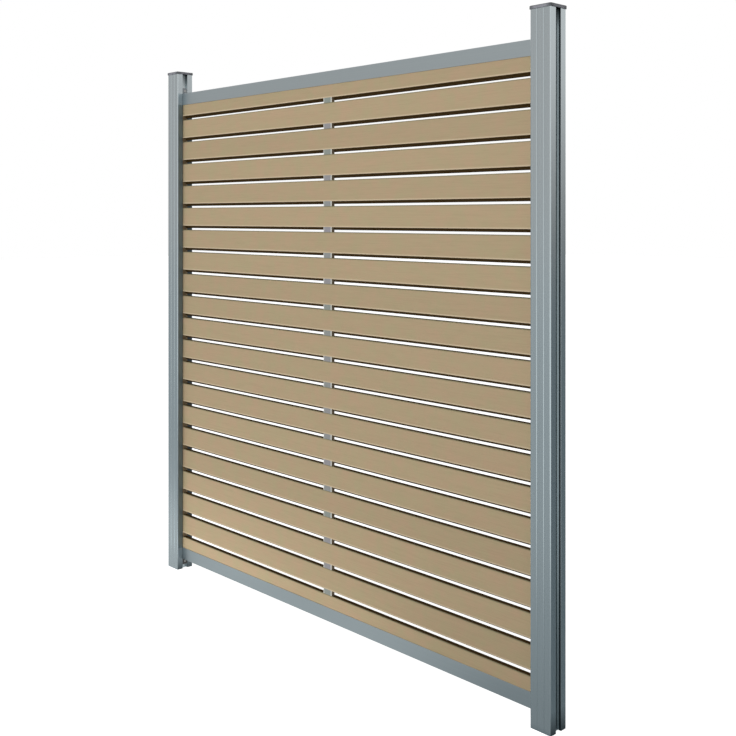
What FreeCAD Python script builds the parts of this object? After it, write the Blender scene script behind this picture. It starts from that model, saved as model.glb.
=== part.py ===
import FreeCAD, Part

import math
import os

# Garden privacy screen: two square grooved posts, a top and a bottom rail, and
# twenty-one composite slats kept apart by spacers. Sizes are millimetres.
#
# Frame: +Z up from the ground under the posts' feet, +X along the screen to the
# right-hand post, +Y from the front face to the back. The origin is on the ground,
# midway between the posts.

# ---- Posts -------------------------------------------------------------------
CLEAR_WIDTH = 1750.0      # opening between the two posts
POST_SIZE = 70.0          # side of a post's square section
POST_CORNER = 4.0         # outer corner radius
POST_WALL = 2.5
LINE_WIDTH = 3.0          # two shallow lines run up the front and the back face
LINE_DEPTH = 0.9
GROOVE_WIDTH = 22.0       # one groove runs up each side face
GROOVE_DEPTH = 10.0
GROOVE_WALL = 2.0
GROOVE_LIP = 1.0          # radius on the groove's outer edges
FOOT_HEIGHT = 38.0        # post below the bottom rail
HEAD_HEIGHT = 83.0        # post above the top rail

# ---- Post caps ---------------------------------------------------------------
CAP_LID = 3.0             # cap above the post's end
CAP_SKIRT = 6.0           # cap reaching down round the post
CAP_WALL = 2.5
CAP_CLEARANCE = 0.3
CAP_BEVEL = 1.2           # round the top edge
CAP_LEG = 14.0            # length of the four corner legs that plug into the post
CAP_LEG_WALL = 2.2
CAP_LEG_REACH = 15.0      # longer arm of a leg's L section

# ---- Slats -------------------------------------------------------------------
SLAT_COUNT = 21
SLAT_HEIGHT = 70.3        # of the front face
SLAT_THICKNESS = 18.0
SLAT_GAP = 17.0           # clear height between two slats' front faces
SLAT_DROP = 10.5          # the underside hangs this much lower at the back, as a drip edge
SLAT_EDGE = 1.0           # radius on the four long edges
KEYWAY_WIDTH = 6.0        # groove along the middle of both long edges
KEYWAY_DEPTH = 5.0
SLAT_END_GAP = 2.0        # room to lengthen in the sun, at each end

# ---- Rails -------------------------------------------------------------------
RAIL_HEIGHT = 46.0
RAIL_WALL = 1.5
TOP_CHAMBER = 18.0        # closed part, from the outer edge to the pocket's floor
BOTTOM_CHAMBER = 9.0
RAIL_EDGE = 1.2
RAIL_LIP = 0.6
RAIL_END_GAP = 1.0
POCKET_CLEARANCE = 0.2    # between a slat and each wall of the pocket
POCKET_HEADROOM = 1.0     # above the top slat
CHANNEL_CLEARANCE = 0.3   # between a rail, or an end spacer, and the post's groove

# ---- Spacers -----------------------------------------------------------------
SPACER_WIDTH = 42.0       # the visible blocks at mid-width
SPACER_DEPTH = 14.5       # from the slats' front faces backwards
SPACER_BEVEL = 1.2        # on the four upright edges
KEY_CLEARANCE = 0.2       # between a spacer's tongue and the slat's keyway

# ---- Blocks that hold the rails at their height, and their screws --------------
BLOCK_HEIGHT = 22.0
SCREW_DIAMETER = 3.5
SCREW_HEAD_DIAMETER = 6.8
SCREW_LENGTH = 13.0
SCREW_CLEARANCE = 0.1     # on the radius

# ---- Worked out from the sizes above ------------------------------------------
POST_HALF = POST_SIZE / 2
GROOVE_HALF = GROOVE_WIDTH / 2
POST_X = CLEAR_WIDTH / 2 + POST_HALF
SIDES = {"left": -1, "right": 1}

SLAT_HALF = SLAT_THICKNESS / 2
KEYWAY_HALF = KEYWAY_WIDTH / 2
SLAT_PITCH = SLAT_HEIGHT + SLAT_GAP
SLAT_SLOPE = math.atan2(SLAT_DROP, SLAT_THICKNESS)
# how far the underside's rounded back edge hangs below the front face
SLAT_HANG = SLAT_DROP * (1 - SLAT_EDGE / SLAT_THICKNESS) - SLAT_EDGE * (1 / math.cos(SLAT_SLOPE) - 1)
SLAT_LENGTH = CLEAR_WIDTH + 2 * (GROOVE_DEPTH - SLAT_END_GAP)
STACK_HEIGHT = SLAT_COUNT * SLAT_HEIGHT + (SLAT_COUNT - 1) * SLAT_GAP + SLAT_HANG

RAIL_DEPTH = SLAT_THICKNESS + 2 * (POCKET_CLEARANCE + RAIL_WALL)
RAIL_LENGTH = CLEAR_WIDTH + 2 * (GROOVE_DEPTH - RAIL_END_GAP)
PANEL_HEIGHT = BOTTOM_CHAMBER + STACK_HEIGHT + POCKET_HEADROOM + TOP_CHAMBER
PANEL_BOTTOM = FOOT_HEIGHT
PANEL_TOP = PANEL_BOTTOM + PANEL_HEIGHT
POST_HEIGHT = PANEL_TOP + HEAD_HEIGHT
LOWEST_SLAT = PANEL_BOTTOM + BOTTOM_CHAMBER + SLAT_HANG

BLOCK_DEPTH = GROOVE_WIDTH - 2 * CHANNEL_CLEARANCE
SCREW_HEIGHTS = (PANEL_BOTTOM - BLOCK_HEIGHT / 2, PANEL_TOP + BLOCK_HEIGHT / 2)


def outline(corners, place):
    """A closed wire through corners (u, v, radius); place turns (u, v) into a point."""
    joints = []
    edges = []
    for i, (u, v, radius) in enumerate(corners):
        corner = place(u, v)
        before = (place(*corners[i - 1][:2]) - corner).normalize()
        after = (place(*corners[(i + 1) % len(corners)][:2]) - corner).normalize()
        if radius == 0:
            joints.append((corner, corner))
            continue
        half = before.getAngle(after) / 2
        inward = (before + after).normalize()
        start = corner + before * (radius / math.tan(half))
        end = corner + after * (radius / math.tan(half))
        middle = corner + inward * (radius / math.sin(half) - radius)
        edges.append(Part.Arc(start, middle, end).toShape())
        joints.append((start, end))
    for i, (start, _) in enumerate(joints):
        edges.append(Part.makeLine(joints[i - 1][1], start))
    return Part.Wire(Part.__sortEdges__(edges))


def along_x(corners, x_start, length):
    """The section (y, z, radius) drawn out along +X."""
    face = Part.Face(outline(corners, lambda y, z: FreeCAD.Vector(x_start, y, z)))
    return face.extrude(FreeCAD.Vector(length, 0, 0))


def along_z(corners, z_start, length):
    """The section (x, y, radius) drawn out along +Z."""
    face = Part.Face(outline(corners, lambda x, y: FreeCAD.Vector(x, y, z_start)))
    return face.extrude(FreeCAD.Vector(0, 0, length))


def rectangle(half_u, half_v, radius=0.0):
    """Corners of a rectangle about (0, 0)."""
    return [(u * half_u, v * half_v, radius) for u, v in ((-1, -1), (1, -1), (1, 1), (-1, 1))]


def mirrored(side):
    """The corners of one half, followed by its mirror image across u = 0."""
    return side + [(-u, v, radius) for u, v, radius in reversed(side)]


def shifted(shape, x=0.0, y=0.0, z=0.0):
    """A copy of the shape, moved."""
    copy = shape.copy()
    copy.translate(FreeCAD.Vector(x, y, z))
    return copy


# ---- Posts -------------------------------------------------------------------
def post_outer():
    """Right half of a post's section, from the front line to the back line."""
    line = POST_HALF / 3
    front_line = [
        (line - LINE_WIDTH / 2, -POST_HALF, 0),
        (line, -POST_HALF + LINE_DEPTH, 0),
        (line + LINE_WIDTH / 2, -POST_HALF, 0),
    ]
    groove = [
        (POST_HALF, -GROOVE_HALF, GROOVE_LIP),
        (POST_HALF - GROOVE_DEPTH, -GROOVE_HALF, 0),
        (POST_HALF - GROOVE_DEPTH, GROOVE_HALF, 0),
        (POST_HALF, GROOVE_HALF, GROOVE_LIP),
    ]
    back_line = [(u, -v, radius) for u, v, radius in reversed(front_line)]
    corner = (POST_HALF, POST_HALF, POST_CORNER)
    return front_line + [(POST_HALF, -POST_HALF, POST_CORNER)] + groove + [corner] + back_line


def post_hollow():
    """Right half of the hollow, which narrows between the two grooves."""
    wide = POST_HALF - POST_WALL
    narrow = POST_HALF - GROOVE_DEPTH - GROOVE_WALL
    step = GROOVE_HALF + GROOVE_WALL
    inner_corner = POST_CORNER - POST_WALL
    return [
        (wide, -wide, inner_corner),
        (wide, -step, 0),
        (narrow, -step, 0),
        (narrow, step, 0),
        (wide, step, 0),
        (wide, wide, inner_corner),
    ]


def screw_bore(radius, side, z):
    """A cylinder from the opening between the posts outwards through a groove's floor."""
    start = FreeCAD.Vector(side * CLEAR_WIDTH / 2, 0, z)
    outwards = FreeCAD.Vector(side, 0, 0)
    return Part.makeCylinder(radius, GROOVE_DEPTH + 2 * GROOVE_WALL, start, outwards)


def post(side):
    body = along_z(mirrored(post_outer()), 0, POST_HEIGHT)
    body = body.cut(along_z(mirrored(post_hollow()), 0, POST_HEIGHT))
    body = shifted(body, x=side * POST_X)
    for z in SCREW_HEIGHTS:
        body = body.cut(screw_bore(SCREW_DIAMETER / 2 + SCREW_CLEARANCE, side, z))
    return body


# ---- Post caps ---------------------------------------------------------------
def cap_leg(sign_x, sign_y):
    """An L-shaped leg in one corner of the post's hollow, cut off where that is rounded."""
    out = POST_HALF - POST_WALL - CAP_CLEARANCE
    cut = POST_CORNER - POST_WALL
    inner_x = POST_HALF - GROOVE_DEPTH - GROOVE_WALL + CAP_CLEARANCE
    inner_y = out - CAP_LEG_REACH
    section = [
        (out, out - cut),
        (out, inner_y),
        (out - CAP_LEG_WALL, inner_y),
        (out - CAP_LEG_WALL, out - CAP_LEG_WALL),
        (inner_x, out - CAP_LEG_WALL),
        (inner_x, out),
        (out - cut, out),
    ]
    placed = [(sign_x * x, sign_y * y, 0) for x, y in section]
    return along_z(placed, POST_HEIGHT - CAP_LEG, CAP_LEG)


def cap(side):
    overhang = CAP_CLEARANCE + CAP_WALL
    outer = rectangle(POST_HALF + overhang, POST_HALF + overhang, POST_CORNER + overhang)
    lid = along_z(outer, POST_HEIGHT - CAP_SKIRT, CAP_SKIRT + CAP_LID)
    top = POST_HEIGHT + CAP_LID
    rim = [edge for edge in lid.Edges if edge.BoundBox.ZMin > top - 0.01]
    lid = lid.makeChamfer(CAP_BEVEL, rim)
    inner = POST_HALF + CAP_CLEARANCE
    seat = along_z(rectangle(inner, inner, POST_CORNER + CAP_CLEARANCE), 0, POST_HEIGHT)
    lid = lid.cut(seat)
    for sign_x in (-1, 1):
        for sign_y in (-1, 1):
            lid = lid.fuse(cap_leg(sign_x, sign_y))
    return shifted(lid, x=side * POST_X)


# ---- Slats -------------------------------------------------------------------
def fall(y):
    """How far a slat's underside has dropped at depth y, counted from its front face."""
    return SLAT_DROP * (y + SLAT_HALF) / SLAT_THICKNESS


def slat(z):
    """A slat whose front face starts at height z."""
    floor = z - fall(0) + KEYWAY_DEPTH
    top = z + SLAT_HEIGHT
    section = [
        (-SLAT_HALF, z, SLAT_EDGE),
        (-KEYWAY_HALF, z - fall(-KEYWAY_HALF), 0),
        (-KEYWAY_HALF, floor, 0),
        (KEYWAY_HALF, floor, 0),
        (KEYWAY_HALF, z - fall(KEYWAY_HALF), 0),
        (SLAT_HALF, z - SLAT_DROP, SLAT_EDGE),
        (SLAT_HALF, top, SLAT_EDGE),
        (KEYWAY_HALF, top, 0),
        (KEYWAY_HALF, top - KEYWAY_DEPTH, 0),
        (-KEYWAY_HALF, top - KEYWAY_DEPTH, 0),
        (-KEYWAY_HALF, top, 0),
        (-SLAT_HALF, top, SLAT_EDGE),
    ]
    return along_x(section, -SLAT_LENGTH / 2, SLAT_LENGTH)


def spacer(z, x_start, width, front, back):
    """A block from y = front to y = back that fills the gap above a slat whose top is at z."""
    key = KEYWAY_HALF - KEY_CLEARANCE
    reach = KEYWAY_DEPTH - KEY_CLEARANCE
    roof = z + SLAT_GAP
    tip = roof - fall(0) + reach
    section = [
        (front, z, 0),
        (-key, z, 0),
        (-key, z - reach, 0),
        (key, z - reach, 0),
        (key, z, 0),
        (back, z, 0),
        (back, roof - fall(back), 0),
        (key, roof - fall(key), 0),
        (key, tip, 0),
        (-key, tip, 0),
        (-key, roof - fall(-key), 0),
        (front, roof - fall(front), 0),
    ]
    return along_x(section, x_start, width)


def centre_spacer(z):
    """A visible spacer, with its four upright edges bevelled."""
    back = SPACER_DEPTH - SLAT_HALF
    body = spacer(z, -SPACER_WIDTH / 2, SPACER_WIDTH, -SLAT_HALF, back)
    corners = [
        edge
        for edge in body.Edges
        if abs(edge.CenterOfMass.x) > SPACER_WIDTH / 2 - 0.01
        and (edge.BoundBox.YMax < 0.01 - SLAT_HALF or edge.BoundBox.YMin > back - 0.01)
    ]
    return body.makeChamfer(SPACER_BEVEL, corners)


def end_spacers(side, gap_heights):
    """The short spacers hidden in one post's groove, one in each gap."""
    width = GROOVE_DEPTH - SLAT_END_GAP
    start = CLEAR_WIDTH / 2 if side > 0 else -CLEAR_WIDTH / 2 - width
    half = BLOCK_DEPTH / 2
    return Part.makeCompound([spacer(z, start, width, -half, half) for z in gap_heights])


# ---- Rails -------------------------------------------------------------------
def rail(z_edge, direction, chamber):
    """A rail with its closed edge at z_edge; the pocket opens in the direction +1 or -1."""
    half = RAIL_DEPTH / 2
    inner = half - RAIL_WALL
    side = [
        (half, 0, RAIL_EDGE),
        (half, RAIL_HEIGHT, RAIL_LIP),
        (inner, RAIL_HEIGHT, RAIL_LIP),
        (inner, chamber, 0),
    ]
    hollow = [(inner, RAIL_WALL, 0), (inner, chamber - RAIL_WALL, 0)]

    def placed(corners):
        return [(y, z_edge + direction * z, radius) for y, z, radius in mirrored(corners)]

    body = along_x(placed(side), -RAIL_LENGTH / 2, RAIL_LENGTH)
    return body.cut(along_x(placed(hollow), -RAIL_LENGTH / 2, RAIL_LENGTH))


# ---- Blocks and screws ---------------------------------------------------------
def screw(side, z):
    """A countersunk screw through a block and the groove's floor into the post."""
    head = (SCREW_HEAD_DIAMETER - SCREW_DIAMETER) / 2
    start = FreeCAD.Vector(side * (CLEAR_WIDTH / 2 + RAIL_END_GAP), 0, z)
    outwards = FreeCAD.Vector(side, 0, 0)
    shank = Part.makeCylinder(SCREW_DIAMETER / 2, SCREW_LENGTH, start, outwards)
    radii = (SCREW_HEAD_DIAMETER / 2, SCREW_DIAMETER / 2)
    return shank.fuse(Part.makeCone(*radii, head, start, outwards)).removeSplitter()


def block(side, z_low):
    """A block that fills the groove beside a rail's end."""
    x_low = CLEAR_WIDTH / 2 + RAIL_END_GAP
    length = GROOVE_DEPTH - RAIL_END_GAP
    z = z_low + BLOCK_HEIGHT / 2
    section = [(y, z + v, 0) for y, v, _ in rectangle(BLOCK_DEPTH / 2, BLOCK_HEIGHT / 2)]
    body = along_x(section, x_low if side > 0 else -x_low - length, length)
    body = body.cut(screw_bore(SCREW_DIAMETER / 2 + SCREW_CLEARANCE, side, z))
    sink = (SCREW_HEAD_DIAMETER - SCREW_DIAMETER) / 2
    start = FreeCAD.Vector(side * x_low, 0, z)
    radii = (SCREW_HEAD_DIAMETER / 2 + SCREW_CLEARANCE, SCREW_DIAMETER / 2 + SCREW_CLEARANCE)
    return body.cut(Part.makeCone(*radii, sink, start, FreeCAD.Vector(side, 0, 0)))


# ---- The whole screen ----------------------------------------------------------
def build():
    nodes = {
        "bottom_rail": rail(PANEL_BOTTOM, 1, BOTTOM_CHAMBER),
        "top_rail": rail(PANEL_TOP, -1, TOP_CHAMBER),
    }
    slat_heights = [LOWEST_SLAT + i * SLAT_PITCH for i in reversed(range(SLAT_COUNT))]
    for number, z in enumerate(slat_heights, start=1):
        nodes[f"slat_{number:02d}"] = slat(z)

    gap_heights = [z + SLAT_HEIGHT for z in slat_heights[1:]]
    for number, z in enumerate(gap_heights, start=1):
        nodes[f"centre_spacer_{number:02d}"] = centre_spacer(z)

    for name, side in SIDES.items():
        nodes[f"post_{name}"] = post(side)
        nodes[f"post_cap_{name}"] = cap(side)
        nodes[f"end_spacers_{name}"] = end_spacers(side, gap_heights)
        nodes[f"rail_support_{name}"] = block(side, PANEL_BOTTOM - BLOCK_HEIGHT)
        nodes[f"rail_retainer_{name}"] = block(side, PANEL_TOP)
    screws = [screw(side, z) for side in SIDES.values() for z in SCREW_HEIGHTS]
    nodes["block_screws"] = Part.makeCompound(screws)
    return nodes


os.makedirs("parts", exist_ok=True)
for node, shape in build().items():
    shape.exportStep(f"parts/{node}.step")
    print(f"{node:20} {len(shape.Solids):3} solid(s) {shape.Volume / 1000:9.1f} cm3")
print(f"panel {PANEL_HEIGHT:.1f} high, post {POST_HEIGHT:.1f} high, slat {SLAT_LENGTH:.0f} long")
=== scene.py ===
# %% [markdown]
# A garden privacy screen, dressed and photographed.
#
# The screen's construction is already made: two grooved aluminium posts with caps, a top and a
# bottom rail, twenty-one composite slats, and the spacers that keep the gaps between them. Each
# piece arrives as its own object, at its real size, in metres, with +Z up, +X towards the
# right-hand post and +Y from the front to the back. This lesson gives every piece its finish,
# models the caps and the screws again with the small shapes that catch light, sets the camera
# where the photographer stood, and lights the screen in a plain white studio.

# %% Load the construction
import math

import bpy
from mathutils import Matrix, Vector


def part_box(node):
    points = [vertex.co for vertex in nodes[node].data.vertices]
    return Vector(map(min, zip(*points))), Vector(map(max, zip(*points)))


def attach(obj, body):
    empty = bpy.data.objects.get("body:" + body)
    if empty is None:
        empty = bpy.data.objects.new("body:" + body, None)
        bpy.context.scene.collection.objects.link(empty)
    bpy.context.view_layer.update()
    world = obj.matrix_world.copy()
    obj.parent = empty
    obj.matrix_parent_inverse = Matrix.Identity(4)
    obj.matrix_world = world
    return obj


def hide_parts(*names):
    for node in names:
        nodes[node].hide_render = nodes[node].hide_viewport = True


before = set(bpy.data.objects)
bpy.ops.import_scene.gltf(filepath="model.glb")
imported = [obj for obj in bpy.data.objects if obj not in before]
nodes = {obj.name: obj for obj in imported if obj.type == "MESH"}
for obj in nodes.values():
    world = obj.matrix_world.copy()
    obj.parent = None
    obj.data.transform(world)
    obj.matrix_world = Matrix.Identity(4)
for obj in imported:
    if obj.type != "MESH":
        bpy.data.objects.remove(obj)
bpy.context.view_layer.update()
MM = 0.001

# %% [markdown]
# The camera stands to the right and in front of the screen, a little above chest height, and
# looks level across it: the posts stay parallel in the picture, which only happens when the
# camera isn't tilted. A level camera would show too little of the screen's lower part, so the
# lens is shifted downwards, as on a view camera. The place, the angle and the lens were solved
# from the posts' edges, the rails' lines and the gaps' heights in the photograph.

# %% The camera
CAMERA_PLACE = (2.6436, -2.3095, 1.3984)
CAMERA_TURN = math.radians(46.73)
FOCAL_LENGTH = 50.79
LENS_SHIFT = -0.2045

camera_data = bpy.data.cameras.new("camera")
camera_data.lens = FOCAL_LENGTH
camera_data.shift_y = LENS_SHIFT
camera = bpy.data.objects.new("camera", camera_data)
camera.location = CAMERA_PLACE
camera.rotation_euler = (math.pi / 2, 0, CAMERA_TURN)
bpy.context.scene.collection.objects.link(camera)
bpy.context.scene.camera = camera
print("camera at", CAMERA_PLACE, "turned", round(math.degrees(CAMERA_TURN), 2), "degrees")

# %% [markdown]
# Colours are easiest to read and write as the hex values that a screen shows, but shaders work
# in linear light, so one function turns the first into the second. A second small function adds
# a node, sets it up and links it, so that a recipe reads as one line per node. Its settings are
# the names in lower case, and its inputs the capitalised names, or plain values in order.


# %% Helpers for materials
def colour(hex_value):
    """An sRGB hex value as linear red, green, blue and alpha."""
    channels = [int(hex_value[i : i + 2], 16) / 255 for i in (1, 3, 5)]
    linear = [c / 12.92 if c <= 0.04045 else ((c + 0.055) / 1.055) ** 2.4 for c in channels]
    return (*linear, 1.0)


def add_node(tree, kind, *values, **named):
    """Adds a node; an input is a value, another node or one of its sockets."""
    node = tree.nodes.new("ShaderNode" + kind)
    for name, value in named.items():
        if name[0].islower():
            setattr(node, name, value)
    # A setting can change which sockets a node uses, so they are numbered only now.
    inputs = list(zip([socket for socket in node.inputs if socket.enabled], values))
    for name, value in named.items():
        if name[0].isupper():
            inputs.append((node.inputs[name.replace("_", " ")], value))
    for socket, value in inputs:
        if isinstance(value, bpy.types.Node):
            value = next(output for output in value.outputs if output.enabled)
        if isinstance(value, bpy.types.NodeSocket):
            tree.links.new(value, socket)
        else:
            socket.default_value = value
    return node


def new_material(name):
    """An empty material, its node tree, its surface shader and its Object coordinates."""
    material = bpy.data.materials.new(name)
    material.use_nodes = True
    tree = material.node_tree
    place = add_node(tree, "TexCoord").outputs["Object"]
    return material, tree, tree.nodes["Principled BSDF"], place


def wire(tree, surface, **sources):
    """Links nodes to the surface shader's inputs of these names."""
    for name, node in sources.items():
        output = next(socket for socket in node.outputs if socket.enabled)
        tree.links.new(output, surface.inputs[name.replace("_", " ")])


def dress(material, *objects):
    """Puts the material on these objects."""
    for item in objects:
        item.data.materials.clear()
        item.data.materials.append(material)
    print(material.name, "on", len(objects), "pieces")


def starting(word):
    """The nodes whose names start with this word, in order."""
    return [nodes[name] for name in sorted(nodes) if name.startswith(word)]


# %% [markdown]
# The posts and rails are extruded aluminium, anodised a natural silver grey. Anodising keeps the
# metal's own reflection but roughens it to a satin, so the faces show their surroundings as soft
# gradients instead of images. The die that the metal was pushed through leaves hair-fine lines all
# along a bar, up a post and across a rail, and these lines streak the reflection. Their real width
# is a few hundredths of a millimetre, far too fine to show, so they are drawn as bands of a few
# millimetres. The rails are a shade darker and duller than the posts.

# %% Anodised aluminium
POST_SHADES = ("#acb5b8", "#b9c0c2")
RAIL_SHADES = ("#a8b1b4", "#b5bcbe")
POST_GLOSS = (0.22, 0.30)
RAIL_GLOSS = (0.38, 0.46)
DIE_LINE = 3.5 * MM
DIE_LENGTH = 2.5
DIE_RELIEF = 0.008 * MM
FACE_WAVE = 24 * MM
FACE_WAVE_LENGTH = 2.5
FACE_DIP = 0.12 * MM


def anodised_aluminium(name, along, shades, gloss):
    """Natural anodised aluminium, with die lines that run along this axis (0 for x, 2 for z)."""
    material, tree, surface, place = new_material(name)
    # One long cell along the bar and narrow cells across it make the streaks.
    stretch = [1 / DIE_LINE] * 3
    stretch[along] = 1 / DIE_LENGTH
    lines = add_node(tree, "Mapping", Vector=place, Scale=stretch)
    streaks = add_node(tree, "TexNoise", lines, Scale=1.0, Detail=3.0, Roughness=0.6)
    tint = add_node(
        tree, "Mix", streaks, colour(shades[0]), colour(shades[1]), data_type="RGBA", label="tint"
    )
    # The satin isn't even: the same lines are a little glossier or duller than their neighbours.
    satin = add_node(tree, "MapRange", streaks, To_Min=gloss[0], To_Max=gloss[1])
    # Drawn-out faces are never quite flat: a slow wave across the bar bends the reflection.
    broad = [1 / FACE_WAVE] * 3
    broad[along] = 1 / FACE_WAVE_LENGTH
    wave_lines = add_node(tree, "Mapping", Vector=place, Scale=broad)
    wave = add_node(tree, "TexNoise", wave_lines, Scale=1.0, Detail=0.0)
    wavy = add_node(tree, "Bump", Height=wave, Distance=FACE_DIP, Strength=1.0)
    relief = add_node(tree, "Bump", Height=streaks, Distance=DIE_RELIEF, Strength=1.0, Normal=wavy)
    wire(tree, surface, Base_Color=tint, Roughness=satin, Normal=relief)
    surface.inputs["Metallic"].default_value = 1.0
    return material, tint, satin


rail_metal, _, _ = anodised_aluminium("anodised_aluminium_rails", 0, RAIL_SHADES, RAIL_GLOSS)
post_metal, post_tint, post_satin = anodised_aluminium(
    "anodised_aluminium_posts", 2, POST_SHADES, POST_GLOSS
)
dress(rail_metal, nodes["top_rail"], nodes["bottom_rail"])
dress(post_metal, nodes["post_left"], nodes["post_right"])

# %% [markdown]
# The posts' colour carries painted shade, put in by place. In the outer groove, which has no panel
# in it, a dark painted shade lies along the mouth of its walls, while the groove's floor keeps the
# metal's colour. Right under the caps the grooves are painted dark all across, as the caps'
# shadow. The lowest few centimetres of the sides are painted darker towards the foot. The face
# beside the panel is painted darker and bluer, which dims its reflection of the slats, and it is
# rougher as well. A groove's walls lie 11 mm from the post's middle plane, and the shaded faces
# stand 875 mm from the screen's middle.

# %% Painted shade on the posts: places and colours
POST_MIDDLE = 910 * MM
POST_HALF = 35 * MM
GROOVE_HALF = 11 * MM
WALL_SLACK = 0.4 * MM
FACE_SLACK = 0.6 * MM
SHADE_DEPTH = 6.5 * MM
UNDER_CAP = (1915 * MM, 1965 * MM)
UNDER_CAP_SHARE = 0.8
# How high the painted shade at the posts' foot reaches, and how dark it gets.
FOOT_SHADE_HEIGHT = 65 * MM
FOOT_SHADE_SHARE = 0.85
PANEL_TOP = 1892 * MM
SLATS_SHOW = (84 * MM, 1846 * MM)
# How much of the painted shade beside the panel reaches beside the rails.
BESIDE_RAIL_SHARE = 0.4
BEHIND_FADE = 3 * MM
BEHIND_SHARE = 0.85
# The painted shade's colour: grooves, under the caps, the foot and behind the slats.
PAINTED_SHADE = "#333b3e"
# The painted shade beside the panel: its bluish-grey colour, and that face's roughness.
PANEL_SIDE_SHADE = "#83939b"
PANEL_SIDE_ROUGHNESS = 0.55


def around_post(tree):
    """Nodes for a point's axes, and its distances from the screen's middle and the post's."""
    axes = add_node(tree, "SeparateXYZ", add_node(tree, "TexCoord").outputs["Object"])
    sideways = add_node(tree, "Math", axes.outputs[0], operation="ABSOLUTE")
    from_middle = add_node(tree, "Math", sideways, POST_MIDDLE, operation="SUBTRACT")
    from_middle = add_node(tree, "Math", from_middle, operation="ABSOLUTE")
    depth = add_node(tree, "Math", axes.outputs[1], operation="ABSOLUTE")
    return axes, sideways, from_middle, depth


tree = post_metal.node_tree
axes, sideways, from_middle, depth = around_post(tree)
print("posts", round(2 * POST_HALF / MM), "mm square")

# %% Painted shade on the posts: along the outer groove's mouth, and under the caps
# Painted shade along the groove's walls near the mouth, and the caps' painted shadow below them.
mouth = POST_HALF - SHADE_DEPTH
near_mouth = add_node(tree, "MapRange", from_middle, mouth - 1 * MM, mouth + 0.5 * MM)
outer = add_node(tree, "Math", sideways, POST_MIDDLE, operation="GREATER_THAN")
on_wall = add_node(tree, "Math", depth, GROOVE_HALF, WALL_SLACK, operation="COMPARE")
along_mouth = add_node(tree, "Math", near_mouth, outer, operation="MULTIPLY")
along_mouth = add_node(tree, "Math", along_mouth, on_wall, operation="MULTIPLY")
across_groove = add_node(tree, "Math", depth, GROOVE_HALF + WALL_SLACK, operation="LESS_THAN")
under_cap = add_node(tree, "MapRange", axes.outputs[2], *UNDER_CAP, 0.0, UNDER_CAP_SHARE)
under_cap = add_node(tree, "Math", under_cap, across_groove, operation="MULTIPLY")
painted_shade = add_node(tree, "Math", along_mouth, under_cap, operation="MAXIMUM")
inside = add_node(tree, "Math", from_middle, POST_HALF - FACE_SLACK, operation="LESS_THAN")
painted_shade = add_node(tree, "Math", painted_shade, inside, operation="MULTIPLY")
# The painted shade along the grooves' walls is this deep.
print("a film", round(SHADE_DEPTH / MM, 1), "mm deep along the outer grooves' mouths")

# %% Painted shade on the posts: darker towards the foot
SIDE_BAND = 5 * MM
FRONT_CORNER = 1 * MM

on_side = add_node(tree, "Math", from_middle, POST_HALF - SIDE_BAND, operation="GREATER_THAN")
clear_of_front = add_node(tree, "Math", depth, POST_HALF - FRONT_CORNER, operation="LESS_THAN")
# Painted shade: the sides get darker towards the foot.
foot_shade = add_node(tree, "MapRange", axes.outputs[2], 0.0, FOOT_SHADE_HEIGHT, FOOT_SHADE_SHARE, 0.0)
foot_shade = add_node(tree, "Math", foot_shade, on_side, operation="MULTIPLY")
foot_shade = add_node(tree, "Math", foot_shade, clear_of_front, operation="MULTIPLY")
painted_shade = add_node(tree, "Math", painted_shade, foot_shade, operation="MAXIMUM")
# The painted shade at the foot reaches this high.
print("splashed up to", round(FOOT_SHADE_HEIGHT / MM), "mm from the ground")

# %% Painted shade on the posts: beside the panel
panel_side = add_node(
    tree, "Math", sideways, POST_MIDDLE - POST_HALF, WALL_SLACK, operation="COMPARE"
)
# Less painted shade beside the rails than beside the slats.
middle_height = sum(SLATS_SHOW) / 2
beside_slats = add_node(
    tree, "Math", axes.outputs[2], middle_height, middle_height - SLATS_SHOW[0],
    operation="COMPARE",
)
amount = add_node(tree, "MapRange", beside_slats, To_Min=BESIDE_RAIL_SHARE, To_Max=1.0)
below_top = add_node(tree, "Math", axes.outputs[2], PANEL_TOP, operation="LESS_THAN")
shaded = add_node(tree, "Math", panel_side, below_top, operation="MULTIPLY")
shaded = add_node(tree, "Math", shaded, amount, operation="MULTIPLY")
# Painted shade beside the panel: darker and bluer, to dim the face's reflection of the slats.
side_shaded = add_node(tree, "Mix", shaded, post_tint, colour(PANEL_SIDE_SHADE), data_type="RGBA")
rougher = add_node(tree, "Mix", shaded, post_satin, PANEL_SIDE_ROUGHNESS)
# Behind the slats the painted shade is nearly black.
behind = add_node(tree, "MapRange", axes.outputs[1], 0.0, BEHIND_FADE, 0.0, BEHIND_SHARE)
behind = add_node(tree, "Math", behind, panel_side, operation="MULTIPLY")
behind = add_node(tree, "Math", behind, beside_slats, operation="MULTIPLY")
painted_shade = add_node(tree, "Math", painted_shade, behind, operation="MAXIMUM")
shaded_colour = add_node(tree, "Mix", painted_shade, side_shaded, colour(PAINTED_SHADE), data_type="RGBA")
wire(tree, tree.nodes["Principled BSDF"], Base_Color=shaded_colour, Roughness=rougher)
print("dripped on beside the panel, up to", round(PANEL_TOP / MM), "mm from the ground")
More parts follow.
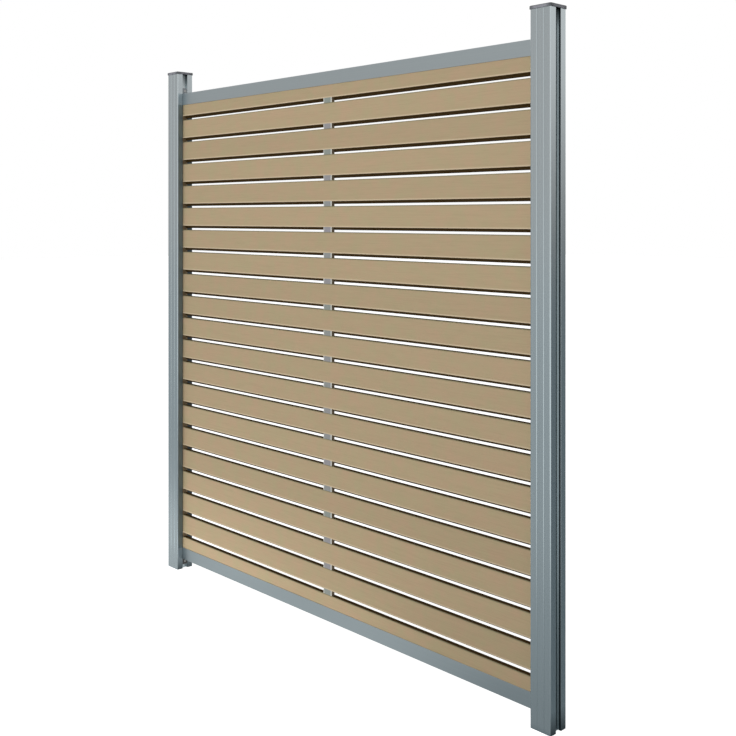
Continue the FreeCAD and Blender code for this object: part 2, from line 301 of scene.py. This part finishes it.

# %% [markdown]
# The slats are wood-plastic composite: wood flour and polymer, extruded and then brushed along
# their length, which takes the smooth skin off the faces and leaves a dry, flat sand colour with
# fine streaks. Where more flour lies near the surface the colour turns warmer or greener, in
# clouds a few centimetres wide, and no two boards come out quite alike. The long edges aren't
# brushed and keep the extrusion's skin, painted a dark brown that stands in for the shade inside
# the narrow gaps, which is why the gaps look outlined. Wood flour is about 0.3 mm across and a
# brush line narrower still, so both are drawn a few times coarser than they are.

# %% Brushed composite: colours and sizes
COMPOSITE_WARM = "#b0987c"
COMPOSITE_GREEN = "#a99b7b"
BRUSH_DARK = "#9a8a6d"
# A painted highlight on the slats' lower edges, a painted shade on their upper edges.
LOWER_EDGE_HIGHLIGHT = "#c6b599"
UPPER_EDGE_SHADE = "#7b775d"
# The long edges' skin, painted dark brown as the shade in the narrow gaps.
EDGE_SKIN_SHADE = "#47351a"
SLAT_PITCH = 87.3 * MM
SLAT_HEIGHT = 70.3 * MM
SLAT_THICKNESS = 18.0 * MM
SLAT_DROP = 10.5 * MM
SLAT_ROUNDING = 0.8 * MM
FIRST_SLAT = 56.76 * MM
CLOUD = 60 * MM
BRUSH_LINE = (90 * MM, 1.6 * MM, 1.6 * MM)
BRUSH_RANGE = (0.45, 0.75)
BRUSH_SHARE = 0.45
BRUSH_DEPTH = 0.25 * MM
FLOUR = 2.2 * MM
FLOUR_DEPTH = 0.10 * MM
DRYNESS = (0.70, 0.88)
BOARD_SHADES = (0.97, 1.03)
# Noise seldom leaves its middle, so this part of it is spread over the whole range.
NOISE_MIDDLE = (0.36, 0.64)
print("clouds", round(CLOUD / MM), "mm wide, brush lines", round(BRUSH_LINE[1] / MM, 1), "mm")

# %% Brushed composite: clouds and brush lines
composite, tree, surface, place = new_material("brushed_composite")
axes = add_node(tree, "SeparateXYZ", place)
clouds = add_node(tree, "TexNoise", place, Scale=1 / CLOUD, Detail=5.0, Roughness=0.65)
cloudy = add_node(tree, "MapRange", clouds, *NOISE_MIDDLE)
tone = add_node(
    tree, "Mix", cloudy, colour(COMPOSITE_WARM), colour(COMPOSITE_GREEN), data_type="RGBA"
)
brush = add_node(tree, "Mapping", Vector=place, Scale=[1 / size for size in BRUSH_LINE])
strokes = add_node(tree, "TexNoise", brush, Scale=1.0, Detail=3.0, Roughness=0.7)
stroke_share = add_node(tree, "MapRange", strokes, *BRUSH_RANGE, 0.0, BRUSH_SHARE)
brushed = add_node(tree, "Mix", stroke_share, tone, colour(BRUSH_DARK), data_type="RGBA")
print(len(tree.nodes), "nodes in", composite.name, "so far")

# %% [markdown]
# A point's place on its own slat comes from its height: all slats are a pitch apart, so the height
# in pitches has the slat's number before the point and the place on the slat after it. The number
# gives each board its own slight shade. The place gives the rims: a pale painted highlight along
# the lower edge, and a grey-green painted shade along the upper one.

# %% Brushed composite: boards
height = add_node(tree, "Math", axes.outputs[2], SLAT_DROP - FIRST_SLAT)
turns = add_node(tree, "Math", height, SLAT_PITCH, operation="DIVIDE")
number = add_node(tree, "Math", turns, operation="FLOOR")
chance = add_node(tree, "TexWhiteNoise", noise_dimensions="1D", W=number)
board = add_node(
    tree, "MapRange", chance.outputs["Value"], To_Min=BOARD_SHADES[0], To_Max=BOARD_SHADES[1]
)
boards = add_node(tree, "HueSaturation", Value=board, Color=brushed)
print("boards from", BOARD_SHADES[0], "to", BOARD_SHADES[1], "times the common shade")

# %% Brushed composite: rims
# A rim is solid up to its first width from the edge, and has faded out at its second.
UPPER_WIDTHS = [width * MM / SLAT_PITCH for width in (1.2, 4.0)]
LOWER_WIDTHS = [width * MM / SLAT_PITCH for width in (2.0, 5.0)]
UPPER_SHARE = 0.9
LOWER_SHARE = 0.85

share = add_node(tree, "Math", turns, operation="FRACT")
to_top = add_node(
    tree, "Math", (SLAT_DROP + SLAT_HEIGHT) / SLAT_PITCH, share, operation="SUBTRACT"
)
upper = add_node(tree, "MapRange", to_top, *UPPER_WIDTHS, UPPER_SHARE, 0.0)
# The underside slants, so the front face's lower edge is higher than the back's.
slant = -SLAT_DROP / SLAT_THICKNESS / SLAT_PITCH
lower_edge = add_node(
    tree, "Math", axes.outputs[1], slant, SLAT_DROP / 2 / SLAT_PITCH, operation="MULTIPLY_ADD"
)
to_bottom = add_node(tree, "Math", share, lower_edge, operation="SUBTRACT")
lower = add_node(tree, "MapRange", to_bottom, *LOWER_WIDTHS, LOWER_SHARE, 0.0)
# Painted highlight along the lower edge, painted shade along the upper edge.
with_lower = add_node(tree, "Mix", lower, boards, colour(LOWER_EDGE_HIGHLIGHT), data_type="RGBA")
faces = add_node(tree, "Mix", upper, with_lower, colour(UPPER_EDGE_SHADE), data_type="RGBA")
# Deeper than the faces' rounded corners is unbrushed skin, painted dark as the gaps' shade.
depth = add_node(tree, "Math", axes.outputs[1], operation="ABSOLUTE")
skin_starts = SLAT_THICKNESS / 2 - SLAT_ROUNDING
skin_ends = skin_starts + SLAT_ROUNDING / 2
skin = add_node(tree, "MapRange", depth, skin_starts, skin_ends, 1.0, 0.0)
whole = add_node(tree, "Mix", skin, faces, colour(EDGE_SKIN_SHADE), data_type="RGBA")
print("slat", round(SLAT_HEIGHT / MM, 1), "mm high, a pitch of", round(SLAT_PITCH / MM, 1), "mm")

# %% Brushed composite: gloss and relief
dryness = add_node(tree, "MapRange", strokes, To_Min=DRYNESS[0], To_Max=DRYNESS[1])
flour = add_node(tree, "TexNoise", place, Scale=1 / FLOUR, Detail=1.0)
grain = add_node(tree, "Bump", Height=flour, Distance=FLOUR_DEPTH, Strength=1.0)
relief = add_node(tree, "Bump", Height=strokes, Distance=BRUSH_DEPTH, Strength=1.0, Normal=grain)
wire(tree, surface, Base_Color=whole, Roughness=dryness, Normal=relief)
# Open wood flour has no film on it to shine, so there is next to no gloss.
surface.inputs["Specular IOR Level"].default_value = 0.1
dress(composite, *starting("slat_"))

# %% [markdown]
# Caps, spacers and blocks are injection-moulded polyamide. The moulds are spark-eroded, which
# gives a fine even matt. Its real grain is about 0.1 mm, drawn here at 0.8 mm so that it can be
# seen at all. The melt's flow leaves slow changes of shade a few centimetres wide.

# %% Moulded polyamide
SPARK_GRAIN = 0.8 * MM
SPARK_DEPTH = 0.05 * MM
SPARK_SPREAD = 0.06
MELT_FLOW = 25 * MM


def moulded_polyamide(name, shades, roughness):
    """Spark-eroded polyamide between two close shades, and the node that mixes them."""
    material, tree, surface, place = new_material(name)
    flow = add_node(tree, "TexNoise", place, Scale=1 / MELT_FLOW, Detail=1.0)
    flowing = add_node(tree, "MapRange", flow, *NOISE_MIDDLE)
    shade = add_node(
        tree, "Mix", flowing, colour(shades[0]), colour(shades[1]), data_type="RGBA"
    )
    grain = add_node(tree, "TexNoise", place, Scale=1 / SPARK_GRAIN, Detail=2.0)
    ends = (roughness - SPARK_SPREAD, roughness + SPARK_SPREAD)
    matt = add_node(tree, "MapRange", grain, To_Min=ends[0], To_Max=ends[1])
    relief = add_node(tree, "Bump", Height=grain, Distance=SPARK_DEPTH, Strength=1.0)
    wire(tree, surface, Base_Color=shade, Roughness=matt, Normal=relief)
    return material, shade


# The blocks above the top rail are seen, so they are grey like the metal. The blocks under the
# panel are black, a painted shade for the dark groove around them. The spacers between the slats'
# ends are brown like the slats.
block_plastic, _ = moulded_polyamide("moulded_polyamide_blocks", ("#8f9498", "#999ea2"), 0.50)
shaded_block_plastic, _ = moulded_polyamide("moulded_polyamide_grooves", ("#2c2a28", "#36332f"), 0.55)
end_plastic, _ = moulded_polyamide("moulded_polyamide_ends", ("#7b684c", "#877455"), 0.55)
dress(block_plastic, *starting("rail_retainer_"))
dress(shaded_block_plastic, *starting("rail_support_"))
dress(end_plastic, *starting("end_spacers_"))

# %% [markdown]
# The spacers at mid-width are moulded in the slats' brown, and only their front is faced in a
# light grey that shows. The facing is painted paler along its two sides, a painted highlight on
# its edges. The spacers come from mixed batches, some greener and some more lilac. The facing lies
# on the first millimetre behind the slats' front plane, so a point's place across the screen's
# depth says whether it is facing or body.

# %% Faced spacers
SPACER_FRONT = -9.0 * MM
SPACER_HALF = 21.0 * MM
FACING_DEPTH = 1.25 * MM
FACING_SHADES = ("#858881", "#8c8a8a")
RIM_STARTS = SPACER_HALF - 5 * MM
RIM_FULL = SPACER_HALF - 3 * MM
BATCH_SHARE = 0.65
FACING_GREEN = "#7f8a80"
FACING_LILAC = "#8d8890"
FACING_EDGE_HIGHLIGHT = "#d0d0c8"
SPACER_BODY = "#94846e"

spacer_plastic, facing = moulded_polyamide("moulded_polyamide_spacers", FACING_SHADES, 0.50)
tree = spacer_plastic.node_tree
axes = add_node(tree, "SeparateXYZ", add_node(tree, "TexCoord").outputs["Object"])
turns = add_node(tree, "Math", axes.outputs[2], SLAT_PITCH, operation="DIVIDE")
number = add_node(tree, "Math", turns, operation="FLOOR")
chance = add_node(tree, "TexWhiteNoise", noise_dimensions="1D", W=number)
batch = add_node(
    tree, "Mix", chance.outputs["Value"], colour(FACING_GREEN), colour(FACING_LILAC),
    data_type="RGBA",
)
faced = add_node(tree, "Mix", BATCH_SHARE, facing, batch, data_type="RGBA")
across = add_node(tree, "Math", axes.outputs[0], operation="ABSOLUTE")
# A painted highlight along the facing's two sides.
rim = add_node(tree, "MapRange", across, RIM_STARTS, RIM_FULL)
highlighted = add_node(tree, "Mix", rim, faced, colour(FACING_EDGE_HIGHLIGHT), data_type="RGBA")
behind_facing = SPACER_FRONT + FACING_DEPTH
body = add_node(tree, "Math", axes.outputs[1], behind_facing, operation="GREATER_THAN")
spacer = add_node(tree, "Mix", body, highlighted, colour(SPACER_BODY), data_type="RGBA")
wire(tree, tree.nodes["Principled BSDF"], Base_Color=spacer)
dress(spacer_plastic, *starting("centre_spacer_"))

# %% [markdown]
# The caps are what the eye meets first on a post, and their construction is plain: a lid, a
# skirt round the post's end and four legs inside it. A moulded cap has softer edges, and its
# lid is sunk a little inside a raised border, which hides the slight dip of the thick middle.
# The construction's own mesh is a good start, because the legs and the fit are already right:
# a copy of it is merged, its flat faces are made whole again, and then the rim of the skirt is
# bevelled and the lid inset.


# %% Selecting in edit mode
def only(item):
    """Makes this the only selected object, and the active one."""
    bpy.ops.object.select_all(action="DESELECT")
    item.select_set(True)
    bpy.context.view_layer.objects.active = item


def pick(item, mode, test):
    """In edit mode, selects the vertices, edges or faces that pass the test."""
    bpy.ops.mesh.select_mode(type=mode)
    bpy.ops.mesh.select_all(action="DESELECT")
    bpy.ops.object.mode_set(mode="OBJECT")
    mesh = item.data
    for part in {"VERT": mesh.vertices, "EDGE": mesh.edges, "FACE": mesh.polygons}[mode]:
        part.select = test(part)
    bpy.ops.object.mode_set(mode="EDIT")


# %% The caps
CAP_CORNER = 31 * MM
CAP_HEIGHT = 9 * MM
CAP_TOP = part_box("post_cap_right")[1].z
SKIRT_RIM = CAP_TOP - CAP_HEIGHT
OUTER_RING = 6 * MM
RIM_BEVEL = 0.5 * MM
LID_BORDER = 4 * MM
LID_SINK = 0.5 * MM
TOUCH = 0.1 * MM
SMOOTH_ANGLE = math.radians(32)

cap_right = bpy.data.objects.new("cap_right", nodes["post_cap_right"].data.copy())
bpy.context.scene.collection.objects.link(cap_right)
only(cap_right)
bpy.ops.object.mode_set(mode="EDIT")
bpy.ops.mesh.select_all(action="SELECT")
bpy.ops.mesh.remove_doubles(threshold=0.01 * MM)
bpy.ops.mesh.dissolve_limited(angle_limit=math.radians(0.5))


def on_skirt_rim(edge):
    """Whether an edge is on the outer rim, under the skirt."""
    for index in edge.vertices:
        point = cap_right.data.vertices[index].co
        beyond = Vector((
            max(abs(point.x - POST_MIDDLE) - CAP_CORNER, 0),
            max(abs(point.y) - CAP_CORNER, 0),
        ))
        if abs(point.z - SKIRT_RIM) > TOUCH or beyond.length < OUTER_RING:
            return False
    return True


pick(cap_right, "EDGE", on_skirt_rim)
bpy.ops.mesh.bevel(offset=RIM_BEVEL, segments=2, affect="EDGES")
pick(cap_right, "FACE", lambda face: face.normal.z > 0.9 and face.center.z > CAP_TOP - TOUCH)
bpy.ops.mesh.inset(thickness=LID_BORDER)
bpy.ops.mesh.inset(thickness=LID_SINK, depth=-LID_SINK)
bpy.ops.object.mode_set(mode="OBJECT")
bpy.ops.object.shade_smooth_by_angle(angle=SMOOTH_ANGLE)

cap_left = bpy.data.objects.new("cap_left", cap_right.data.copy())
cap_left.data.transform(Matrix.Translation((-2 * POST_MIDDLE, 0, 0)))
bpy.context.scene.collection.objects.link(cap_left)
for cap, node in ((cap_left, "post_cap_left"), (cap_right, "post_cap_right")):
    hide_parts(node)
    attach(cap, "root")
print("caps with", len(cap_right.data.polygons), "faces each")

# %% [markdown]
# The caps' dark grey is rubbed lighter in the middle of each side, where hands and packing touch
# it, and stays dark at the corners. Along the top bevel it is painted darker, a painted shade.

# %% The caps' finish
CAP_SHADES = ("#7a7b82", "#86878e")
CAP_DARK = "#505356"
CAP_EDGE_SHADE = "#3e4143"
CORNER_FADE = (18 * MM, 34 * MM)
EDGE_FADE = (CAP_TOP - 2.4 * MM, CAP_TOP - 1.0 * MM)

cap_plastic, cap_tint = moulded_polyamide("moulded_polyamide_caps", CAP_SHADES, 0.50)
tree = cap_plastic.node_tree
axes, _, from_middle, depth = around_post(tree)
to_corner = add_node(tree, "Math", from_middle, depth, operation="MINIMUM")
corner = add_node(tree, "MapRange", to_corner, *CORNER_FADE)
cornered = add_node(tree, "Mix", corner, cap_tint, colour(CAP_DARK), data_type="RGBA")
# A painted shade along the top bevel.
edge = add_node(tree, "MapRange", axes.outputs[2], *EDGE_FADE)
cap_colour = add_node(tree, "Mix", edge, cornered, colour(CAP_EDGE_SHADE), data_type="RGBA")
wire(tree, tree.nodes["Principled BSDF"], Base_Color=cap_colour)
dress(cap_plastic, cap_left, cap_right, *starting("post_cap_"))

# %% [markdown]
# Four countersunk screws hold the blocks under and over the panel. Only a screw's head shows, so
# that is where the work goes: a cone that fills its countersink, a thin flat rim and a six-lobed
# socket. A cylinder of the shank's size is the start. Its near end is extruded and widened into
# the head, inset for the rim and the socket, and the socket's ring is pulled in between its
# lobes before it is pushed down. The far end is drawn to a point. The thread is inside the block.

# %% The screws
SHANK_RADIUS = 1.75 * MM
HEAD_RADIUS = 3.4 * MM
HEAD_PLANE = 876 * MM
SCREW_LENGTH = 13 * MM
SOCKET_RADIUS = 1.7 * MM
SOCKET_DEPTH = 1.3 * MM
SOCKET_CHAMFER = 0.2 * MM
LOBE_WAIST = 0.74
SOCKET_TAPER = 0.85
TIP_LENGTH = 3 * MM
TIP_SHARE = 0.2
LOWER_SCREW = 27 * MM
UPPER_SCREW = 1903.06 * MM
ROUND = 36

head_depth = HEAD_RADIUS - SHANK_RADIUS
shank = SCREW_LENGTH - head_depth
bpy.ops.object.select_all(action="DESELECT")
bpy.ops.mesh.primitive_cylinder_add(
    vertices=ROUND, radius=SHANK_RADIUS, depth=shank, rotation=(0, math.pi / 2, 0),
    location=(HEAD_PLANE + head_depth + shank / 2, 0, LOWER_SCREW),
)
screw = bpy.context.object
screw.name = "screw_1"
bpy.ops.object.transform_apply(location=True, rotation=True, scale=True)
middle = (HEAD_PLANE, 0, LOWER_SCREW)
bpy.ops.object.mode_set(mode="EDIT")
pick(screw, "FACE", lambda face: face.normal.x < -0.9)
widen = HEAD_RADIUS / SHANK_RADIUS
bpy.ops.mesh.extrude_region_move(TRANSFORM_OT_translate={"value": (-head_depth, 0, 0)})
bpy.ops.transform.resize(value=(1, widen, widen), center_override=middle)
bpy.ops.mesh.inset(thickness=HEAD_RADIUS - SOCKET_RADIUS - SOCKET_CHAMFER)
bpy.ops.mesh.inset(thickness=SOCKET_CHAMFER)
print("screw head", round(2 * HEAD_RADIUS / MM, 1), "mm across")


# %% The screws: socket and tip
def between_lobes(vertex):
    """Whether a vertex of the socket's ring lies between two of its six lobes."""
    across, up = vertex.co.y, vertex.co.z - LOWER_SCREW
    on_ring = abs(math.hypot(across, up) - SOCKET_RADIUS) < TOUCH
    on_head = abs(vertex.co.x - HEAD_PLANE) < TOUCH
    return on_ring and on_head and math.cos(6 * math.atan2(up, across)) < -0.1


pick(screw, "VERT", between_lobes)
bpy.ops.transform.resize(value=(1, LOBE_WAIST, LOBE_WAIST), center_override=middle)
pick(screw, "FACE", lambda face: face.normal.x < -0.9 and len(face.vertices) == ROUND)
bpy.ops.mesh.extrude_region_move(TRANSFORM_OT_translate={"value": (SOCKET_DEPTH, 0, 0)})
bpy.ops.transform.resize(value=(1, SOCKET_TAPER, SOCKET_TAPER), center_override=middle)
bpy.ops.mesh.select_all(action="SELECT")
tip_start = HEAD_PLANE + SCREW_LENGTH - TIP_LENGTH
bpy.ops.mesh.bisect(plane_co=(tip_start, 0, 0), plane_no=(1, 0, 0))
pick(screw, "FACE", lambda face: face.normal.x > 0.9 and len(face.vertices) == ROUND)
bpy.ops.transform.resize(value=(1, TIP_SHARE, TIP_SHARE), center_override=middle)
bpy.ops.object.mode_set(mode="OBJECT")
bpy.ops.object.shade_smooth_by_angle(angle=SMOOTH_ANGLE)
print("screw", round(SCREW_LENGTH / MM), "mm long")

# %% The screws: four of them
screws = [screw]
half_turn = Matrix.Rotation(math.pi, 4, "Z")
lift = Matrix.Translation((0, 0, UPPER_SCREW - LOWER_SCREW))
for number, move in enumerate((lift, half_turn, half_turn @ lift), start=2):
    copy = bpy.data.objects.new(f"screw_{number}", screw.data.copy())
    copy.data.transform(move)
    bpy.context.scene.collection.objects.link(copy)
    screws.append(copy)
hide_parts("block_screws")
for piece in screws:
    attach(piece, "root")
print(len(screws), "screws with", len(screw.data.polygons), "faces each")

# %% [markdown]
# The screws are stainless steel, cold-headed and tumbled. Tumbling leaves a bright, even satin
# with tiny dents in all directions, a little lighter and duller in some places than in others. A
# dent is about 0.05 mm across, drawn at 0.5 mm.

# %% Tumbled stainless steel
TUMBLE_DENT = 0.5 * MM
DENT_DEPTH = 0.02 * MM
STEEL_SHADES = ("#a9a8a4", "#c4c3bf")
STEEL_GLOSS = (0.26, 0.40)

steel, tree, surface, place = new_material("tumbled_stainless_steel")
dents = add_node(tree, "TexNoise", place, Scale=1 / TUMBLE_DENT, Detail=2.0)
shade = add_node(
    tree, "Mix", dents, colour(STEEL_SHADES[0]), colour(STEEL_SHADES[1]), data_type="RGBA"
)
satin = add_node(tree, "MapRange", dents, To_Min=STEEL_GLOSS[0], To_Max=STEEL_GLOSS[1])
relief = add_node(tree, "Bump", Height=dents, Distance=DENT_DEPTH, Strength=1.0)
wire(tree, surface, Base_Color=shade, Roughness=satin, Normal=relief)
surface.inputs["Metallic"].default_value = 1.0
dress(steel, *screws, nodes["block_screws"])

# %% [markdown]
# The studio is a plain white floor that runs out to a plain white surround. To the camera both are
# simply white, at a strength of 1; what lights the screen is set apart from that with Light Path,
# so a whiter background never means more light on the object. Metal shows the rest of the studio:
# the surround is whitest at the window on the right, nearly as white behind the screen, and dimmer
# on the photographer's side. The floor's glow to metal is painted on: brightest along the screen's
# foot on the left and towards the window, and dim to the right and behind. That is why a post's
# front stays pale all the way down, its corner draws a bright line, and its right side turns dark
# below the horizon. The floor keeps the screen's shadow.

# %% The floor
FLOOR_SIZE = 60.0
FLOOR_PAINT = "#d9dadb"
FLOOR_ROUGHNESS = 0.9

bpy.ops.object.select_all(action="DESELECT")
bpy.ops.mesh.primitive_plane_add(size=FLOOR_SIZE, location=(0, 0, 0))
floor = bpy.context.object
floor.name = "floor"
white_paint, tree, surface, place = new_material("white_painted_floor")
surface.inputs["Base Color"].default_value = colour(FLOOR_PAINT)
surface.inputs["Roughness"].default_value = FLOOR_ROUGHNESS
surface.inputs["Emission Color"].default_value = (1, 1, 1, 1)
rays = add_node(tree, "LightPath")
axes = add_node(tree, "SeparateXYZ", place)
print("floor", FLOOR_SIZE, "m square")

# %% The floor: bright along the screen's foot, from the left post to its middle
# Each pair of lengths, in metres from the screen's middle, is where a change begins and ends.
LEFTWARDS = (-1.12, 0.0)
FLOOR_SKEW = 0.12
NEAR_SCREEN = (0.22, 0.6)
FAR_SHARE = 0.47

smooth = {"interpolation_type": "SMOOTHSTEP"}
left = add_node(tree, "Math", axes.outputs[0], -1.0, operation="MULTIPLY")
leftwards = add_node(tree, "MapRange", left, *LEFTWARDS, **smooth)
away = add_node(tree, "Math", axes.outputs[1], -1.0, operation="MULTIPLY")
away = add_node(tree, "Math", axes.outputs[0], FLOOR_SKEW, away, operation="MULTIPLY_ADD")
near = add_node(tree, "MapRange", away, *NEAR_SCREEN, 1.0, FAR_SHARE, **smooth)
near_screen = add_node(tree, "Math", leftwards, near, operation="MULTIPLY")
print("brightest within", NEAR_SCREEN[0], "m of the screen")

# %% The floor: bright by the window, out to the front right
WINDOW_LINE = (0.8, -0.6, -0.76)
WINDOW_REACH = (0.3, 1.9)
WINDOW_DIM = 0.25
FRONT_HALF = (-0.6, -0.02)

in_front = add_node(tree, "MapRange", axes.outputs[1], *FRONT_HALF, 1.0, 0.0, **smooth)
slope_x, slope_y, start = WINDOW_LINE
outwards = add_node(tree, "Math", axes.outputs[0], slope_x, start, operation="MULTIPLY_ADD")
outwards = add_node(tree, "Math", axes.outputs[1], slope_y, outwards, operation="MULTIPLY_ADD")
window = add_node(tree, "MapRange", outwards, *WINDOW_REACH, WINDOW_DIM, 1.0, **smooth)
window = add_node(tree, "Math", window, in_front, operation="MULTIPLY")
lit = add_node(tree, "Math", near_screen, window, operation="MAXIMUM")
print("brighter towards the window, up to", WINDOW_REACH[1], "m out")

# %% The floor: the posts' feet, the strip and the shadow
FOOT = (-0.06, -0.01)
FOOT_SHARE = 0.33
STRIP_MIDDLE = -0.82
STRIP_HALF = (0.10, 0.17)
STRIP_RUN = (-1.78, -0.28)
SHADOW_DEPTH = (0.05, 0.5)
SHADOW_RIGHT_END = (0.6, 0.95)
SHADOW_SHARE = 0.75

# The floor right in front of the posts' feet is painted brighter, as the softbox's light.
foot = add_node(tree, "MapRange", axes.outputs[1], *FOOT, FOOT_SHARE, 0.0)
lit = add_node(tree, "Math", lit, foot, operation="MAXIMUM")
# A painted bright strip runs out from the left-hand post: it draws the light side of its lines.
strip = add_node(tree, "Math", axes.outputs[0], STRIP_MIDDLE, operation="SUBTRACT")
strip = add_node(tree, "Math", strip, operation="ABSOLUTE")
strip = add_node(tree, "MapRange", strip, *STRIP_HALF, 1.0, 0.0)
run_middle = sum(STRIP_RUN) / 2
outside = add_node(
    tree, "Math", axes.outputs[1], run_middle, STRIP_RUN[1] - run_middle, operation="COMPARE"
)
strip = add_node(tree, "Math", strip, outside, operation="MULTIPLY")
# Behind the screen the floor's glow to metal is dimmed by a painted shadow.
shadow = add_node(tree, "MapRange", axes.outputs[1], *SHADOW_DEPTH, 0.0, 1.0)
sheltered = add_node(tree, "MapRange", axes.outputs[0], *SHADOW_RIGHT_END, SHADOW_SHARE, 0.0)
shadow = add_node(tree, "Math", shadow, sheltered, operation="MULTIPLY")
print("strip", 2 * STRIP_HALF[0], "m wide at x =", STRIP_MIDDLE)

# %% The floor: what each kind of ray sees
FLOOR_TO_CAMERA = 0.86
FLOOR_DIM = "#79858b"
FLOOR_BRIGHT = "#dae0e2"
WINDOW_GLOW = 0.7
STRIP_GLOW = 1.3
FLOOR_BOUNCE = (1.6, 0.5)
BOUNCE_NEAR = (0.1, 0.7)
BOUNCE_LEFT = (-0.7, 0.3)

seen = add_node(
    tree, "Math", rays.outputs["Is Camera Ray"], rays.outputs["Is Transmission Ray"],
    operation="MAXIMUM",
)
white = add_node(tree, "Math", seen, FLOOR_TO_CAMERA, operation="MULTIPLY")
# Painted bounce: the floor glows for diffuse rays, most close to the slats and on the left.
close = add_node(tree, "MapRange", away, *BOUNCE_NEAR, *FLOOR_BOUNCE, **smooth)
far_left = add_node(tree, "MapRange", left, *BOUNCE_LEFT, **smooth)
bounce = add_node(tree, "Math", close, far_left, operation="MULTIPLY")
bounce = add_node(tree, "Math", rays.outputs["Is Diffuse Ray"], bounce, operation="MULTIPLY")
strength = add_node(tree, "Math", white, bounce, operation="MAXIMUM")
wire(tree, surface, Emission_Strength=strength)
mirrored = add_node(tree, "Mix", lit, colour(FLOOR_DIM), colour(FLOOR_BRIGHT), data_type="RGBA")
glow = add_node(tree, "Math", window, WINDOW_GLOW, 1.0, operation="MULTIPLY_ADD")
glow = add_node(tree, "Math", strip, STRIP_GLOW, glow, operation="MULTIPLY_ADD")
glow = add_node(tree, "Math", glow, shadow, operation="SUBTRACT")
to_metal = add_node(tree, "Emission", Color=mirrored, Strength=glow)
either = add_node(
    tree, "MixShader", rays.outputs["Is Glossy Ray"], surface.outputs[0], to_metal.outputs[0]
)
tree.links.new(either.outputs[0], tree.nodes["Material Output"].inputs["Surface"])
floor.data.materials.append(white_paint)
print("metal sees the window's glow at", 1 + WINDOW_GLOW, "and the strip's at", 1 + STRIP_GLOW)

# %% The surround
PHOTOGRAPHER_SIDE = 0.70
FRONT_SIDE = 1.02
WINDOW_SIDE = 1.25
BEHIND_LOW, BEHIND_HIGH = 0.33, 1.08
# Each pair is where a change begins and ends, as a share of a ray's direction along an axis.
TO_FRONT = (-0.5, 0.05)
TO_WINDOW = (0.45, 0.9)
HORIZON = (-0.02, 0.17)
TO_BEHIND = (-0.5, 0.3)

world = bpy.data.worlds.new("white_surround")
bpy.context.scene.world = world
world.use_nodes = True
tree = world.node_tree
background = tree.nodes["Background"]
background.inputs["Color"].default_value = (1, 1, 1, 1)
rays = add_node(tree, "LightPath")
axes = add_node(tree, "SeparateXYZ", add_node(tree, "TexCoord").outputs["Generated"])
in_front = add_node(
    tree, "MapRange", axes.outputs[0], *TO_FRONT, PHOTOGRAPHER_SIDE, FRONT_SIDE, **smooth
)
at_window = add_node(
    tree, "MapRange", axes.outputs[0], *TO_WINDOW, 0.0, WINDOW_SIDE - FRONT_SIDE, **smooth
)
in_front = add_node(tree, "Math", in_front, at_window, operation="ADD")
backdrop = add_node(
    tree, "MapRange", axes.outputs[2], *HORIZON, BEHIND_LOW, BEHIND_HIGH, **smooth
)
behind = add_node(tree, "MapRange", axes.outputs[1], *TO_BEHIND, **smooth)
surround = add_node(tree, "Mix", behind, in_front, backdrop)
print("surround:", PHOTOGRAPHER_SIDE, "on the photographer's side,", WINDOW_SIDE, "at the window")

# %% The surround: what each kind of ray sees
FILL_LEVEL = 0.34

seen = add_node(
    tree, "Math", rays.outputs["Is Camera Ray"], rays.outputs["Is Transmission Ray"],
    operation="MAXIMUM",
)
mirrored = add_node(tree, "Math", rays.outputs["Is Glossy Ray"], surround, operation="MULTIPLY")
fill = add_node(tree, "Math", rays.outputs["Is Diffuse Ray"], FILL_LEVEL, operation="MULTIPLY")
level = add_node(tree, "Math", seen, mirrored, operation="MAXIMUM")
level = add_node(tree, "Math", level, fill, operation="MAXIMUM")
wire(tree, background, Strength=level)
print("fill level", FILL_LEVEL)

# %% [markdown]
# The light is one large softbox in front of the screen, about head height, and a second one set
# high to the front left. They light what is matt. Metal doesn't show them, because it already
# has the surround to show, and two hard-edged boxes in a satin bar would only add grain.


# %% Lamps
def softbox(name, place, aim, size, power):
    """A rectangular soft light that faces a point."""
    light = bpy.data.lights.new(name, "AREA")
    light.shape = "RECTANGLE"
    light.size, light.size_y = size
    light.energy = power
    lamp = bpy.data.objects.new(name, light)
    lamp.location = place
    lamp.rotation_euler = (Vector(aim) - Vector(place)).to_track_quat("-Z", "Y").to_euler()
    lamp.visible_glossy = False
    bpy.context.scene.collection.objects.link(lamp)
    print(f"{name}: {power} W, {size[0]} x {size[1]} m")


softbox("front_softbox", (1.15, -4.2, 1.9), (0.3, 0, 1.2), (3.4, 2.6), 73)
softbox("high_softbox", (-1.8, -4.2, 6.0), (0, 0, 0.9), (2.4, 2.4), 134)

# %% [markdown]
# The scene's view transform is the plain Standard one, so a colour comes out as it went in.
# The dressed screen has to fill the same box as its construction.

# %% Finish
bpy.context.scene.view_settings.view_transform = "Standard"
